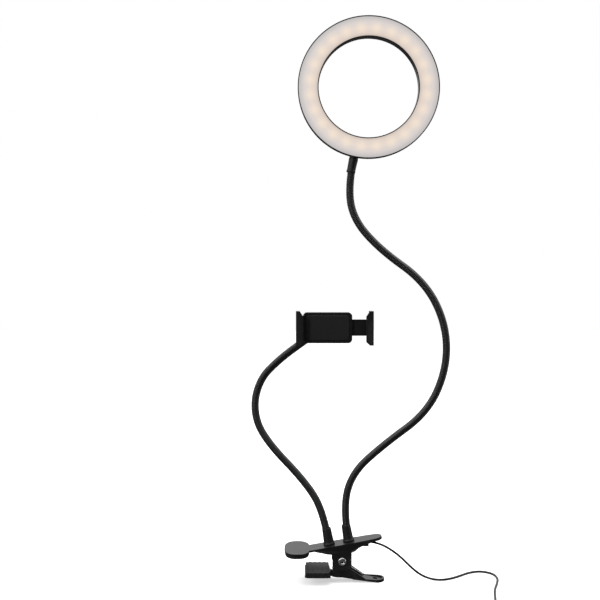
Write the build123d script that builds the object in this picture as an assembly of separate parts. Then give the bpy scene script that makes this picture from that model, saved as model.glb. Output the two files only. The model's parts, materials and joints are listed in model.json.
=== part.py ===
from build123d import *
import math
import os

# Clip-on ring light with a phone cradle, in millimetres.
# +X runs from the clamp's pad to its handles, +Y is away from the user, +Z is up.
# The origin is the centre of the upper pad's contact face, on the desk's top.

# ---- Driving dimensions ----
DESK = 16.0                 # thickness of the board that the clamp is open on
FLOOR = -29.5               # the surface that the cord lies on, level with the clamp's lowest edge
RUN = 0.05                  # radial running clearance of a pin in its hole
GAP = 0.3                   # clearance between pieces of different bodies

PLATE = 2.1                 # wall of the moulded levers
PAD_THICK = 3.0
SPADE = (13.5, 24.5)        # half length and half width of the upper jaw's paddle
SPADE_POWER = 2.6           # 2 is an ellipse, more is squarer
WEB_START = Vector(14, 0, PAD_THICK + PLATE)
WEB_TILT = 10.1             # degrees that the upper handle rises
WEB_END = 76.5              # length of the upper web along its slope
WEB_HALF = 11.0
TIP_HALF = 9.0
CHEEK = 2.0
PIN = Vector(47.2, 0, -6.7)
PIN_R = 2.4
PIN_BORE = 1.5
RIVET_HEAD_R = 4.3
RIVET_HEAD = 1.1
RIM = 1.9                   # the turned-over edge round each handle

ARM_R = 4.0
SLEEVE_BORE = ARM_R + RUN
ARC_SHARE = 0.40            # share of the shorter run that each bend of an arm takes
END_GAP = 2.8               # from a gooseneck segment's flat end to the joint's centre

RING_CENTRE = Vector(74.5, 0, 489)
RING_OUT = 73.9
RING_IN = 52.2
RING_FRONT = 7.5            # distance from the arm's plane to the ring's front edge
RING_BACK = 5.0
RING_WALL = 0.9
LED_COUNT = 24
LED_CIRCLE = 61.5
SCREW_COUNT = 8
NECK_ANGLE = 11.8           # degrees from straight down to the neck

BALL = Vector(30, -54, 242)
BALL_R = 5.5
SOCKET_R = 9.0
CRADLE_X = 36.6             # middle between the jaws
CRADLE_GAP = 68.0
JAW_HALF = 16.5             # half the jaws' height
JAW_WALL = 3.55
JAW_PAD = 1.1               # the rubber inlaid in each jaw's inner face
LIP = 3.6                   # reach of a jaw's lip over the phone
PHONE_THICK = 8.0
BODY_THICK = 10.0
BODY_X = (6.0, 54.0)
BODY_HALF = 15.0
TONGUE = 3.0                # thickness of the jaws' tongues
TONGUE_HALF = 8.0

CORD_R = 1.2
COIL_CENTRE = (62.0, -110.8)
COIL_MEAN = 14.4
COIL_COLUMNS = 3
COIL_LAYERS = 4
TIE_THICK = 0.8
BOX = Vector(136, -94, FLOOR + 4.75)     # centre of the cord's control box
BOX_SIZE = (62.0, 17.0, 9.5)
BUTTON_R = 3.0

# Corner points of the two goosenecks between their ends. Each bend rounds a corner off,
# so the corners stand a little outside the curve.
RING_FOOT_AT = 41.2         # how far up the web each arm stands
PHONE_FOOT_AT = 20.3
FOOT_LIFT = 0.15
FERRULE_R = 3.6
NECK_RUN = (102.5, 72.0)    # the last run points at the ring's centre, from one radius to the other
STUD_RUN = 15.0             # the other arm's last run, which points at the ball
RING_ARM_CORNERS = [
    (48.6, 0, 46), (57.5, 0, 84), (91, 0, 114.5), (138, 0, 149), (158, 0, 196),
    (156.5, 0, 243), (134, 0, 287), (87, 0, 320.5), (58.5, 0, 353)]
PHONE_ARM_CORNERS = [
    (28.3, 0, 40), (12.5, 0, 71), (-36, 0, 122), (-46.5, 0, 153), (-39.5, 0, 184),
    (-18, -4, 206), (8, -16, 226), (24, -31, 238.2)]
RING_ARM_BENDS = [1, 3, 5, 6, 8, 9]      # the runs whose middles are joints
PHONE_ARM_BENDS = [1, 2, 4, 6]

# The cord's route: out of the clip, down to the surface, round and forward to the
# control box, on to the coil, and from the coil to the plug.
CORD_LEAD = [Vector(*p) for p in [
    (77.5, 0, 11.3), (86.5, 0, 9.9), (98.5, 0, 3.6), (109, 0, -4.2), (121, 0, -16.2),
    (131, 0, -24.2), (142, -0.6, -28.3), (153, -3.6, -28.3), (165, 2, -28.3), (176, 11.4, -28.3),
    (187, 21.5, -28.3), (200, 25.5, -28.3), (211, 17.5, -28.3), (213.5, 3.5, -28.3),
    (209, -14, -28.3), (202, -34, -28.3), (198, -56, -28.3), (194.5, -75, -28.3),
    (187.5, -88.5, -27.6), (177, -93.6, -25.6), (167.5, -94, -24.75)]]
CORD_LINK = [Vector(*p) for p in [
    (104.5, -94, -24.75), (94, -94.3, -25.6), (83, -94.8, -27.1), (72, -94.2, -27.5), (62, -94, -27.5)]]
CORD_END = [Vector(*p) for p in [
    (54.9, -95.6, -20.3), (45.5, -100, -21.4), (36, -103.6, -24.6), (26.5, -105.2, -25.5)]]

PARTS = {}


# ---- Helpers ----
def keep(name, *solids):
    """Names one sub-part. A group of identical pieces is several solids in one node."""
    PARTS[name] = solids[0] if len(solids) == 1 else Compound(children=list(solids))


def side_plate(outline, y_low, y_high, corner=0.0):
    """A flat plate drawn in X and Z, from y_low to y_high."""
    face = make_face(Plane.XZ * Polyline(*outline, close=True))
    if corner:
        face = fillet(face.vertices(), corner)
    return Pos(0, y_low, 0) * extrude(face, amount=y_high - y_low, dir=(0, 1, 0))


def turned(profile, origin=(0, 0, 0), direction=(0, 0, 1)):
    """A turned piece: its half section in radius and height, about the given axis."""
    face = make_face(Plane.XZ * Polyline(*profile, close=True))
    return Plane(origin=origin, z_dir=direction).location * revolve(face, axis=Axis.Z)


def rod(start, end, radius):
    """A round rod from one point to another."""
    start, end = Vector(*start), Vector(*end)
    frame = Plane(origin=start, z_dir=end - start)
    return frame.location * extrude(Circle(radius), amount=(end - start).length)


def block(centre, size, corner=0.0):
    """A box by its centre and size, with its upright edges rounded."""
    solid = Box(*size)
    if corner:
        solid = fillet(solid.edges().filter_by(Axis.Z), corner)
    return Pos(*centre) * solid


def bend_radii(route, share):
    """The largest radius that suits each corner of a route."""
    radii = []
    for before, here, after in zip(route, route[1:], route[2:]):
        run_in, run_out = here - before, after - here
        half_turn = math.radians(run_in.get_angle(run_out) / 2)
        radii.append(share * min(run_in.length, run_out.length) / math.tan(half_turn))
    return radii


def tube(route, radius, radii):
    """A round tube along straight runs joined by arcs."""
    path = FilletPolyline(*route, radius=radii) if len(route) > 2 else Line(*route)
    return sweep(Plane(origin=path @ 0, z_dir=path % 0) * Circle(radius), path=path)


def cord_tube(name, route):
    """One stretch of the cord. It prints its radii, its length and its volume's error."""
    radii = bend_radii(route, 0.45)
    path = FilletPolyline(*route, radius=radii)
    solid = tube(route, CORD_R, radii)
    error = solid.volume / (path.length * math.pi * CORD_R**2) - 1
    print(name, "length", round(path.length, 1), "volume error", round(error, 4))
    print(name, "radii", [round(r, 1) for r in radii])
    keep(name, solid)
    return path.length


def neck_point(radius):
    """A point on the line from the ring's centre out through its neck."""
    turn = math.radians(NECK_ANGLE)
    return RING_CENTRE - Vector(math.sin(turn), 0, math.cos(turn)) * radius


WEB_PLANE = Plane(
    origin=WEB_START,
    x_dir=(math.cos(math.radians(WEB_TILT)), 0, math.sin(math.radians(WEB_TILT))),
    z_dir=(-math.sin(math.radians(WEB_TILT)), 0, math.cos(math.radians(WEB_TILT))))
RING_FOOT = WEB_START + WEB_PLANE.x_dir * RING_FOOT_AT
PHONE_FOOT = WEB_START + WEB_PLANE.x_dir * PHONE_FOOT_AT
RING_ARM = [
    RING_FOOT + WEB_PLANE.z_dir * FOOT_LIFT, *(Vector(*p) for p in RING_ARM_CORNERS),
    neck_point(NECK_RUN[0]), neck_point(NECK_RUN[1])]
STUD_DIRECTION = (BALL - Vector(*PHONE_ARM_CORNERS[-1])).normalized()
PHONE_ARM = [
    PHONE_FOOT + WEB_PLANE.z_dir * FOOT_LIFT, *(Vector(*p) for p in PHONE_ARM_CORNERS),
    Vector(*PHONE_ARM_CORNERS[-1]) + STUD_DIRECTION * STUD_RUN]


# ---- Clamp ----
def paddle(half_length, half_width, z_low, z_high):
    """The upper jaw's rounded paddle, a squarish oval."""
    points = []
    for step in range(48):
        turn = 2 * math.pi * step / 48
        c, s = math.cos(turn), math.sin(turn)
        x = half_length * math.copysign(abs(c) ** (2 / SPADE_POWER), c)
        y = half_width * math.copysign(abs(s) ** (2 / SPADE_POWER), s)
        points.append((x, y))
    face = make_face(Spline(*points, periodic=True))
    return Pos(0, 0, z_low) * extrude(face, amount=z_high - z_low)


def handle_outline(start, end, half_start, half_end, narrow_from):
    """Plan of a handle: straight sides, then a taper to a round tip."""
    tip = end - half_end
    edge = Polyline((start, half_start), (narrow_from, half_start), (tip, half_end))
    other = Polyline(
        (tip, -half_end), (narrow_from, -half_start), (start, -half_start), (start, half_start))
    return make_face(edge + ThreePointArc((tip, half_end), (end, 0), (tip, -half_end)) + other)


def clamp_upper_lever():
    jaw = paddle(*SPADE, PAD_THICK, PAD_THICK + PLATE)
    outline = handle_outline(-2.5, WEB_END, WEB_HALF, TIP_HALF, 44)
    web = WEB_PLANE.location * extrude(outline, amount=-PLATE) - Box(40, 60, 2 * PAD_THICK)
    rim_outline = handle_outline(55, WEB_END, 10.35, TIP_HALF, 55.5)
    inside = handle_outline(50, WEB_END - RIM, 10.35 - RIM, TIP_HALF - RIM, 55.5)
    rim = WEB_PLANE.location * (extrude(rim_outline, amount=-3.0) - extrude(inside, amount=-3.0))
    cheek = [
        (15, 4.2), (32, 0.9), (36.9, 0.5), (36.9, -10), (41, -16), (53.2, -16), (57.2, -11),
        (57.2, 4.4), (76, 13.6), (76, 15.4), (40, 9.0), (15, 4.6)]
    near = side_plate(cheek, -WEB_HALF, -WEB_HALF + CHEEK)
    far = side_plate(cheek, WEB_HALF - CHEEK, WEB_HALF)
    bores = rod(PIN - Vector(0, 15, 0), PIN + Vector(0, 15, 0), PIN_R + RUN)
    feet = [
        Plane(origin=foot, z_dir=WEB_PLANE.z_dir).location * Cylinder(FERRULE_R + RUN, 9)
        for foot in (RING_FOOT, PHONE_FOOT)]
    keep("clamp_upper_lever", jaw + web + rim + near + far - bores - feet[0] - feet[1])


def clamp_upper_pad():
    pad = paddle(SPADE[0] - 0.6, SPADE[1] - 0.6, 0, PAD_THICK)
    keep("clamp_upper_pad", pad)


def clamp_lower_lever():
    """The lower lever, a channel whose sides run up to the pin, with a scooped handle."""
    inner = WEB_HALF - CHEEK - GAP
    floor_line = [
        (8, -21.2), (33, -21.2), (38, -23.4), (84, FLOOR), (92.2, FLOOR), (92.2, FLOOR + 1.6),
        (84, FLOOR + 1.8), (38.5, -21.4), (34, -19.0), (8, -19.0)]
    strip = side_plate(floor_line, -24, 24)
    jaw_plan = Pos(21.5, 0, -24) * extrude(RectangleRounded(27, 40, 4), amount=24)
    neck_plan = Pos(46, 0, -24) * extrude(Rectangle(40, 2 * inner), amount=24)
    handle = handle_outline(58, 92.2, inner, 9.0, 62)
    handle_plan = Pos(0, 0, -32) * extrude(handle, amount=20)
    web = strip & (jaw_plan + neck_plan + handle_plan)
    scoop = handle_outline(50, 92.2 - RIM, inner - RIM, 9.0 - RIM, 62)
    wall = Pos(0, 0, -32) * (extrude(handle, amount=20) - extrude(scoop, amount=20))
    rim_outline = [
        (58, -26.1), (84, FLOOR), (92.2, FLOOR), (92.2, -26.3), (84, -26.5), (72, -25.8), (58, -16.2)]
    rim = wall & side_plate(rim_outline, -10, 10)
    cheek = [
        (39.4, -4.5), (42.5, 0.6), (51.9, 0.6), (55.0, -4.5), (55.2, -14), (59, -17.3), (59, -25.8),
        (38.2, -22.6), (37.3, -19)]
    near = side_plate(cheek, -inner, -inner + CHEEK)
    far = side_plate(cheek, inner - CHEEK, inner)
    bores = rod(PIN - Vector(0, 15, 0), PIN + Vector(0, 15, 0), PIN_R + RUN)
    hang_hole = Pos(82.5, 0, -28) * Cylinder(2.5, 12)
    keep("clamp_lower_lever", web + rim + near + far - bores - hang_hole)


def clamp_lower_pad():
    """A rubber block with shallow grip grooves across it, glued in the lower jaw."""
    pad = block((21.5, 0, -DESK - PAD_THICK / 2), (25, 38, PAD_THICK), 3)
    for index in range(5):
        pad -= block((11.5 + 5 * index, 0, -DESK), (1.2, 40, 0.8))
    keep("clamp_lower_pad", pad)


def clamp_pivot_pin():
    """A tubular rivet, rolled over at both ends."""
    half = WEB_HALF + RIVET_HEAD
    head = RIVET_HEAD_R
    profile = [
        (PIN_BORE, -half + 0.5), (PIN_BORE + 0.5, -half), (head - 0.7, -half), (head, -half + 0.6),
        (head, -WEB_HALF), (PIN_R, -WEB_HALF), (PIN_R, WEB_HALF), (head, WEB_HALF), (head, half - 0.6),
        (head - 0.7, half), (PIN_BORE + 0.5, half), (PIN_BORE, half - 0.5)]
    keep("clamp_pivot_pin", turned(profile, PIN, (0, 1, 0)))


def clamp_spring():
    """A wire torsion spring round the pin, with one leg under each handle."""
    wire = 0.8
    coil_r = PIN_R + 0.5 + wire
    turns = [Plane(origin=PIN + Vector(0, y, 0), z_dir=(0, 1, 0)).location * Torus(coil_r, wire)
             for y in (-3.6, -2.1, -0.6, 0.9, 2.4, 3.9)]
    coil = turns[0]
    for turn in turns[1:]:
        coil += turn
    upper_start = PIN + Vector(coil_r * 0.5, -4.2, coil_r * 0.866)
    upper_leg = rod(upper_start, (75.2, -4.2, 12.3), wire)
    lower_leg = rod(PIN + Vector(coil_r * 0.34, 4.2, -coil_r * 0.94), (70, 4.2, -26.1 + wire + 0.4), wire)
    keep("clamp_spring", coil + upper_leg + lower_leg)


def arm_fastenings():
    """What holds each gooseneck to the web: a threaded ferrule, a washer and a nut."""
    ferrules, washers, nuts = [], [], []
    for foot in (RING_FOOT, PHONE_FOOT):
        frame = Plane(origin=foot, z_dir=WEB_PLANE.z_dir)
        ferrule = extrude(Circle(FERRULE_R), amount=-8.0) - extrude(Circle(1.8), amount=-8.0)
        washer = extrude(Circle(6.4) - Circle(FERRULE_R + RUN), amount=-0.8)
        nut = extrude(RegularPolygon(6.0, 6, major_radius=False) - Circle(FERRULE_R + RUN), amount=-3.2)
        ferrules.append(frame.location * ferrule)
        washers.append(frame.offset(-PLATE).location * washer)
        nuts.append(frame.offset(-PLATE - 0.8).location * nut)
    keep("arm_ferrules", *ferrules)
    keep("arm_washers", *washers)
    keep("arm_nuts", *nuts)


def cord_clip():
    """The clip under the handle that grips the cord, and the lead inside the clamp."""
    clip = block((71.6, 0, 12), (8.2, 6, 9.4), 1.2)
    above_web = WEB_PLANE.offset(-PLATE).location * Pos(60, 0, 10) * Box(60, 40, 20)
    neck = rod((72, 0, 11.3), CORD_LEAD[0], 1.9)
    inner_route = [
        RING_FOOT - WEB_PLANE.z_dir * 7.9, Vector(56.6, 0, 0.2), Vector(62, 0, 2.6), Vector(67.6, 0, 9.2)]
    inner = tube(inner_route, CORD_R, bend_radii(inner_route, 0.45))
    keep("cord_clip", clip - above_web + neck)
    keep("inner_lead", inner)


# ---- Goosenecks ----
def gooseneck(name, route, bends):
    """A flexible arm as stiff lengths that meet at ball ends. It prints each joint's centre and axes."""
    radii = bend_radii(route, ARC_SHARE)
    centres = [(route[i] + route[i + 1]) * 0.5 for i in bends]
    directions = [(route[i + 1] - route[i]).normalized() for i in bends]
    first = 0
    for index in range(len(bends) + 1):
        last = index == len(bends)
        stop = len(route) - 1 if last else bends[index] + 1
        corners = route[first:stop] if index else route[1:stop]
        corner_radii = radii[first - 1:stop - 1] if index else radii[:stop - 1]
        start = centres[index - 1] if index else route[0]
        end = route[-1] if last else centres[index] - directions[index] * END_GAP
        piece = tube([start, *corners, end], ARM_R, corner_radii)
        if index:
            piece += Pos(*start) * Sphere(ARM_R)
        if not last:
            piece -= Pos(*centres[index]) * Sphere(ARM_R + GAP)
        keep(f"{name}_{index + 1}", piece)
        first = stop
    for number, (centre, tangent) in enumerate(zip(centres, directions), 1):
        side = (Vector(0, 1, 0) - tangent * tangent.Y).normalized()
        fore = side.cross(tangent)
        print("joint", name, number, [round(v / 1000, 6) for v in centre],
              "side", [round(v, 6) for v in side], "fore", [round(v, 6) for v in fore])


def foot_sleeves():
    """The rubber sleeves at the arms' feet, flared at the bottom."""
    profile = [
        (SLEEVE_BORE, 0), (6.0, 0), (6.1, 1.2), (5.6, 2.6), (5.3, 5), (4.8, 16.4), (4.5, 17.4),
        (SLEEVE_BORE, 17.4)]
    for name, route in (("ring_arm_foot_sleeve", RING_ARM), ("phone_arm_foot_sleeve", PHONE_ARM)):
        upward = (route[1] - route[0]).normalized()
        keep(name, turned(profile, route[0] + upward * 0.05, upward))


# ---- Ring head ----
def ring_frame():
    """The ring's own frame: its axis runs forward, towards the user."""
    return Plane(origin=RING_CENTRE, x_dir=(1, 0, 0), z_dir=(0, -1, 0)).location


def on_circle(radius, count, offset=0.0):
    """Points evenly spaced round the ring, in its own frame."""
    for step in range(count):
        turn = math.radians(offset + 360 * step / count)
        yield radius * math.cos(turn), radius * math.sin(turn)


def ring_rear_housing():
    """The ring's back shell: a rounded channel with screw bosses and the neck's socket."""
    outer = revolve(make_face(Plane.XZ * Polyline(
        (RING_IN, -RING_BACK), (RING_OUT, -RING_BACK), (RING_OUT, RING_FRONT), (RING_IN, RING_FRONT),
        close=True)), axis=Axis.Z)
    back = outer.edges().sort_by(Axis.Z)[:2].sort_by(lambda e: e.radius)
    outer = fillet(back[1], 6.0)
    outer = fillet(outer.edges().sort_by(Axis.Z)[:2].sort_by(lambda e: e.radius)[0], 2.0)
    ledge = RING_FRONT - 2.3
    cavity = revolve(make_face(Plane.XZ * Polyline(
        (RING_IN + 1.7, -RING_BACK + 1.6), (RING_OUT - 6.2, -RING_BACK + 1.6), (RING_OUT - 1.8, 0.8),
        (RING_OUT - 1.8, ledge), (RING_OUT - RING_WALL, ledge), (RING_OUT - RING_WALL, RING_FRONT + 1),
        (RING_IN + RING_WALL, RING_FRONT + 1), (RING_IN + RING_WALL, ledge), (RING_IN + 1.7, ledge),
        close=True)), axis=Axis.Z)
    shell = outer - cavity
    for x, y in on_circle(LED_CIRCLE, SCREW_COUNT):
        shell += Pos(x, y, -RING_BACK + 1.5) * extrude(Circle(2.6), amount=4.0)
    for x, y in on_circle(LED_CIRCLE, SCREW_COUNT):
        shell -= Pos(x, y, -RING_BACK - 1) * extrude(Circle(1.2), amount=8)
        shell -= Pos(x, y, -RING_BACK - 1) * extrude(Circle(2.3), amount=2.3)
    shell = ring_frame() * shell
    socket = rod(neck_point(RING_OUT - 3.4), neck_point(RING_OUT + 0.5), ARM_R + 0.6)
    bore = rod(neck_point(RING_OUT - 6), neck_point(RING_OUT + 3), ARM_R + RUN)
    keep("ring_rear_housing", shell + socket - bore)


def ring_diffuser():
    """The milky front annulus, its edges eased, with a post behind for each screw."""
    low, high = RING_FRONT - 2.3, RING_FRONT - 0.2
    inside, outside = RING_IN + RING_WALL + 0.1, RING_OUT - RING_WALL - 0.1
    profile = [
        (inside, low), (outside, low), (outside, high - 0.7), (outside - 0.3, high - 0.25),
        (outside - 0.9, high), (inside + 0.9, high), (inside + 0.3, high - 0.25), (inside, high - 0.7)]
    lens = turned(profile)
    for x, y in on_circle(LED_CIRCLE, SCREW_COUNT):
        lens += Pos(x, y, 2.3) * extrude(Circle(2.1) - Circle(1.0), amount=low - 2.3)
    keep("ring_diffuser", ring_frame() * lens)


def led_board():
    """The ring of circuit board and the twenty-four LEDs on its front."""
    board = extrude(Circle(70.6) - Circle(55.2), amount=1.6)
    for x, y in on_circle(LED_CIRCLE, SCREW_COUNT):
        board -= Pos(x, y, -1) * extrude(Circle(1.2), amount=4)
    keep("led_board", ring_frame() * Pos(0, 0, 0.6) * board)
    leds = []
    for step in range(LED_COUNT):
        turn = 360 * (step + 0.5) / LED_COUNT
        led = Rot(0, 0, turn) * Pos(LED_CIRCLE, 0, 2.2) * Box(
            2.8, 3.5, 0.7, align=(Align.CENTER, Align.CENTER, Align.MIN))
        leds.append(ring_frame() * led)
    keep("leds", *leds)


def ring_screws():
    """Self-tapping screws through the back shell and the board into the diffuser's posts."""
    profile = [(0, 0), (2.1, 0), (2.1, 1.2), (0.95, 1.3), (0.95, 8.6), (0, 9.2)]
    places = on_circle(LED_CIRCLE, SCREW_COUNT)
    keep("ring_screws", *[ring_frame() * Pos(x, y, -RING_BACK) * turned(profile) for x, y in places])


def ring_top_sleeve():
    """The rubber sleeve where the gooseneck meets the ring's neck."""
    profile = [
        (SLEEVE_BORE, 0), (4.4, 0.2), (4.75, 1.4), (4.5, 3.2), (4.6, 8), (4.85, 14.6), (4.7, 15.6),
        (SLEEVE_BORE, 15.6)]
    foot = neck_point(RING_OUT + 0.6 + 15.6)
    keep("ring_top_sleeve", turned(profile, foot, RING_CENTRE - foot))


# ---- Phone cradle ----
BODY_BACK = BALL.Y - 6.5
BODY_FRONT = BODY_BACK - BODY_THICK
PAD_FRONT = BODY_FRONT - 0.8
LIP_BACK = PAD_FRONT - PHONE_THICK
LIP_FRONT = LIP_BACK - 2.5
TONGUE_BACK = BODY_BACK - 3.4


def phone_arm_end():
    """The end sleeve and the ball stud that the cradle turns on."""
    end = PHONE_ARM[-1]
    profile = [
        (SLEEVE_BORE, -6.4), (4.5, -6.4), (4.8, -5.6), (4.8, 0.2), (4.2, 0.9), (2.65, 0.9), (2.65, 0.05),
        (SLEEVE_BORE, 0.05)]
    keep("phone_arm_end_sleeve", turned(profile, end, STUD_DIRECTION))
    keep("ball_stud", rod(end, BALL, 2.6) + Pos(*BALL) * Sphere(BALL_R))


def swivel_cup():
    """The nylon liner between the ball and the cradle's socket."""
    cup = turned([(0, -6.4), (6.9, -6.4), (6.9, 1.6), (0, 1.6)], BALL, (0, 1, 0))
    keep("swivel_cup", cup - Pos(*BALL) * Sphere(BALL_R + RUN))


def cradle_shells():
    """The cradle's rear shell, with the socket, and its front cover, closed by screws."""
    x_mid, width = sum(BODY_X) / 2, BODY_X[1] - BODY_X[0]
    rear_depth = 6.8
    rear = fillet(Box(width, rear_depth, 2 * BODY_HALF).edges().filter_by(Axis.Y), 4)
    rear = Pos(x_mid, BODY_BACK - rear_depth / 2, BALL.Z) * rear
    socket = turned([(6.95, -6.45), (SOCKET_R, -7.5), (SOCKET_R, 1.5), (6.95, 1.5)], BALL, (0, 1, 0))
    cavity = Pos(x_mid, BODY_BACK - 3.3 - 2.5, BALL.Z) * Box(width - 5, 5.0, 2 * BODY_HALF - 5)
    slots = Box(width + 2, TONGUE + 2 * GAP, 2 * (TONGUE_HALF + GAP))
    slots = Pos(x_mid, TONGUE_BACK - TONGUE / 2, BALL.Z) * slots
    screws = [(x, z) for x in (BODY_X[0] + 4.4, BODY_X[1] - 4.4) for z in (-11.4, 11.4)]
    rear = rear - cavity - slots + socket
    front = fillet(Box(width, 3.2, 2 * BODY_HALF).edges().filter_by(Axis.Y), 4)
    front = Pos(x_mid, BODY_FRONT + 1.6, BALL.Z) * front
    front -= Pos(x_mid, BODY_FRONT + 3.2, BALL.Z) * Box(width - 5, 3.4, 2 * TONGUE_HALF)
    pins = []
    for x, z in screws:
        hole = rod((x, BODY_BACK + 1, BALL.Z + z), (x, BODY_FRONT + 1.2, BALL.Z + z), 1.15)
        head = rod((x, BODY_BACK + 1, BALL.Z + z), (x, BODY_BACK - 1.4, BALL.Z + z), 2.2)
        rear = rear - hole - head
        front = front - hole
        pins.append(rod((x, BODY_BACK - 0.1, BALL.Z + z), (x, BODY_BACK - 1.4, BALL.Z + z), 2.1)
                    + rod((x, BODY_BACK - 1.4, BALL.Z + z), (x, BODY_FRONT + 1.3, BALL.Z + z), 1.1))
    keep("cradle_rear_shell", rear)
    keep("cradle_front_cover", front)
    keep("cradle_screws", *pins)
    pad = fillet(Box(width - 6, 0.8, 2 * BODY_HALF - 6).edges().filter_by(Axis.Y), 3)
    keep("cradle_front_pad", Pos(x_mid, BODY_FRONT - 0.4, BALL.Z) * pad)


def lock_nut():
    """The ring nut that tightens the socket on the ball, with finger flutes."""
    profile = [
        (SOCKET_R + RUN, -5.6), (12.2, -5.6), (12.6, -5.0), (12.6, 0.4), (11.6, 1.4),
        (SOCKET_R + RUN, 1.4)]
    nut = turned(profile, BALL, (0, 1, 0))
    frame = Plane(origin=BALL, z_dir=(0, 1, 0)).location
    for x, y in on_circle(13.6, 12):
        nut -= frame * Pos(x, y, -2) * Cylinder(1.6, 12)
    keep("lock_nut", nut)


def jaw(side):
    """One jaw: a tongue into the cradle, a wall beside the phone, and a lip in front of it."""
    inner = CRADLE_X + side * CRADLE_GAP / 2
    outer = inner + side * JAW_WALL
    root = BODY_X[0] + 10 if side < 0 else BODY_X[1] - 24
    wall_depth = TONGUE_BACK - LIP_FRONT
    wall = fillet(Box(JAW_WALL, wall_depth, 2 * JAW_HALF).edges().filter_by(Axis.X), 2.5)
    wall = Pos((inner + outer) / 2, (TONGUE_BACK + LIP_FRONT) / 2, BALL.Z) * wall
    lip_outline = [
        (inner - side * LIP, -JAW_HALF + 3.2), (inner - side * 0.2, -JAW_HALF), (outer, -JAW_HALF),
        (outer, JAW_HALF), (inner - side * 0.2, JAW_HALF), (inner - side * LIP, JAW_HALF - 5.0)]
    lip_face = [(x, BALL.Z + z) for x, z in lip_outline]
    lip = side_plate(lip_face, LIP_FRONT, LIP_BACK)
    tongue = Box(abs(inner - root), TONGUE, 2 * TONGUE_HALF)
    tongue = Pos((root + inner) / 2, TONGUE_BACK - TONGUE / 2, BALL.Z) * tongue
    soft = Box(JAW_PAD, PHONE_THICK - 1.6, 26)
    soft = Pos(inner + side * JAW_PAD / 2, (PAD_FRONT + LIP_BACK) / 2, BALL.Z) * soft
    return wall + lip + tongue - soft, soft


def cradle_jaws():
    left, left_pad = jaw(-1)
    right, right_pad = jaw(1)
    keep("left_jaw", left)
    keep("left_jaw_pad", left_pad)
    keep("right_jaw", right)
    keep("right_jaw_pad", right_pad)
    depth = TONGUE_BACK - TONGUE - 1.0
    keep("jaw_springs", *[rod((12, depth, BALL.Z + z), (31, depth, BALL.Z + z), 0.8) for z in (-4, 4)])


# ---- Cord, control box and plug ----
def cord():
    """The cord's stretches, the envelope of its coil, and the tie round the coil."""
    routes = {"cord_lead": CORD_LEAD, "cord_link": CORD_LINK, "cord_end": CORD_END}
    length = BOX_SIZE[0] + sum(cord_tube(name, route) for name, route in routes.items())
    width, height = COIL_COLUMNS * 2 * CORD_R, COIL_LAYERS * 2 * CORD_R
    low = FLOOR + TIE_THICK
    inside, outside = COIL_MEAN - width / 2, COIL_MEAN + width / 2
    profile = [
        (inside, low + 0.8), (inside + 0.8, low), (outside - 0.8, low), (outside, low + 0.8),
        (outside, low + height - 0.8), (outside - 0.8, low + height), (inside + 0.8, low + height),
        (inside, low + height - 0.8)]
    coil = turned(profile, (*COIL_CENTRE, 0))
    turns = COIL_COLUMNS * COIL_LAYERS * 2 * math.pi * COIL_MEAN
    print("cord length", round(length + turns, 1), "of which coil", round(turns, 1))
    place = (COIL_CENTRE[0], COIL_CENTRE[1] - COIL_MEAN, low + height / 2)
    band = block(place, (5, width + 2 * TIE_THICK, height + 2 * TIE_THICK))
    keep("cord_coil", coil)
    keep("cord_tie", band - block(place, (6, width, height)) - coil)


def control_box():
    """The in-line control box: two shells, a board, four buttons and two strain reliefs."""
    length, width, height = BOX_SIZE
    half = height / 2
    wall = 1.3
    halves = []
    for side, outermost, rounding in ((1, -1, 1.6), (-1, 0, 1.0)):
        shell = Pos(0, 0, side * half / 2) * fillet(Box(length, width, half).edges().filter_by(Axis.Z), 5)
        shell = fillet(shell.faces().sort_by(Axis.Z)[outermost].edges(), rounding)
        cavity = Box(length - 2 * wall - 6, width - 2 * wall, half - wall)
        halves.append(shell - Pos(0, 0, side * (half - wall) / 2) * cavity)
    top, bottom = halves
    inlet = rod((-length, 0, 0), (5 - length / 2, 0, 0), 2.0)
    outlet = rod((length / 2 - 5, 0, 0), (length, 0, 0), 2.0)
    place = Pos(*BOX)
    for index, x in enumerate((-19.5, -6.5, 6.5, 19.5), 1):
        top -= Pos(x, 0, 2) * Cylinder(BUTTON_R + GAP, 8)
        cap = extrude(Circle(BUTTON_R), amount=half)
        cap = fillet(cap.faces().sort_by(Axis.Z)[-1].edges(), 0.5)
        flange = extrude(Circle(BUTTON_R + 0.9), amount=0.8)
        keep(f"button_{index}", place * Pos(x, 0, 0.9) * (cap + flange))
    keep("control_top_shell", place * (top - inlet - outlet))
    keep("control_bottom_shell", place * (bottom - inlet - outlet))
    keep("control_board", place * Pos(0, 0, -0.6) * Box(length - 14, width - 4, 1.2))
    reliefs = []
    for side in (-1, 1):
        profile = [(0, 0), (1.95, 0), (1.95, 5), (2.6, 5), (2.6, 6.2), (1.7, 13), (0, 13)]
        start = BOX + Vector(side * (length / 2 - 5.0), 0, 0)
        reliefs.append(turned(profile, start, (side, 0, 0)))
    keep("control_strain_reliefs", *reliefs)


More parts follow.
